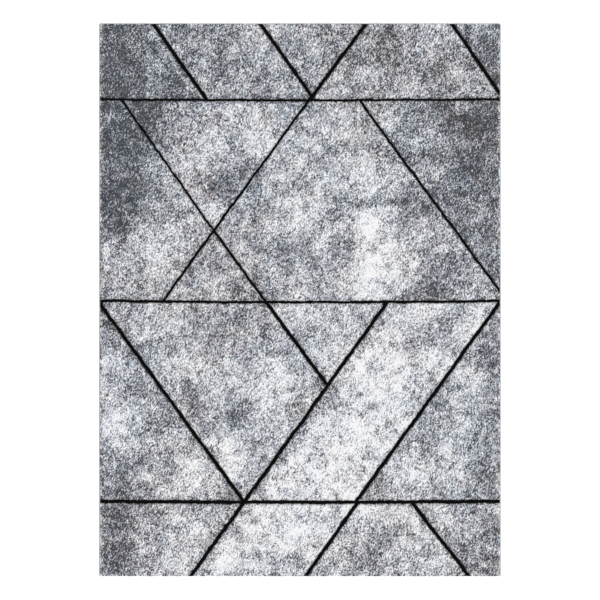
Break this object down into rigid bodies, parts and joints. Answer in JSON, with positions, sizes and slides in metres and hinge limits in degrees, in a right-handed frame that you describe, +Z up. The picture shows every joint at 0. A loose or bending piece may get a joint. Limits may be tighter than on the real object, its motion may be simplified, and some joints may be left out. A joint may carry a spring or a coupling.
{
  "type": "area rug",
  "caption": "Rectangular cut-pile area rug in mottled grey, its raised pile carved into large angular fields by low black lines, with whipped long sides and taped ends.",
  "frame": {"origin": "middle of the underside, on the floor", "axes": "+X to the rug's right and +Y to the end with the head strip when the rug is seen from above with that end at the top, +Z up through the pile"},
  "size_m": [1.6, 2.2, 0.012],
  "materials": {
    "pile_grey": "heat-set cut pile in a heather of slate blue, charcoal, warm grey and off-white",
    "pile_black": "low black cut pile",
    "weave_natural": "plain ground weave of jute weft and polycotton warp",
    "sizing_pale": "cloth set in pale latex sizing, matt",
    "overlock_grey": "pale grey yarn whipped close round the edge",
    "cord_natural": "twisted natural filler cord",
    "tape_grey": "woven finishing tape, stitched"
  },
  "bodies": {
    "root": {"pile_head_corner_left": "pile_grey", "pile_head_slant": "pile_grey", "pile_head_triangle": "pile_grey", "pile_head_wedge": "pile_grey", "pile_head_corner_right": "pile_grey", "pile_upper_side_left": "pile_grey", "pile_upper_triangle": "pile_grey", "pile_upper_small_triangle": "pile_grey", "pile_upper_hexagon": "pile_grey", "pile_upper_side_right": "pile_grey", "pile_lower_corner_left": "pile_grey", "pile_lower_kite": "pile_grey", "pile_lower_triangle": "pile_grey", "pile_lower_slant": "pile_grey", "pile_lower_side_right": "pile_grey", "pile_foot_corner_left": "pile_grey", "pile_foot_slant": "pile_grey", "pile_foot_wedge": "pile_grey", "pile_foot_corner_right": "pile_grey", "line_cross_head": "pile_black", "line_cross_middle": "pile_black", "line_cross_foot": "pile_black", "line_head_first": "pile_black", "line_head_second": "pile_black", "line_head_third": "pile_black", "line_head_fourth": "pile_black", "line_upper_rise_top": "pile_black", "line_upper_rise_foot": "pile_black", "line_upper_fall_top": "pile_black", "line_upper_fall_foot": "pile_black", "line_upper_right": "pile_black", "line_lower_left": "pile_black", "line_lower_short": "pile_black", "line_lower_steep": "pile_black", "line_lower_right": "pile_black", "line_foot_steep": "pile_black", "line_foot_right": "pile_black", "line_foot_fall": "pile_black", "ground_weave": "weave_natural", "back_sizing": "sizing_pale", "side_overlock_left": "overlock_grey", "side_overlock_right": "overlock_grey", "side_cord_left": "cord_natural", "side_cord_right": "cord_natural", "end_tape_head": "tape_grey", "end_tape_foot": "tape_grey"}
  },
  "joints": []
}
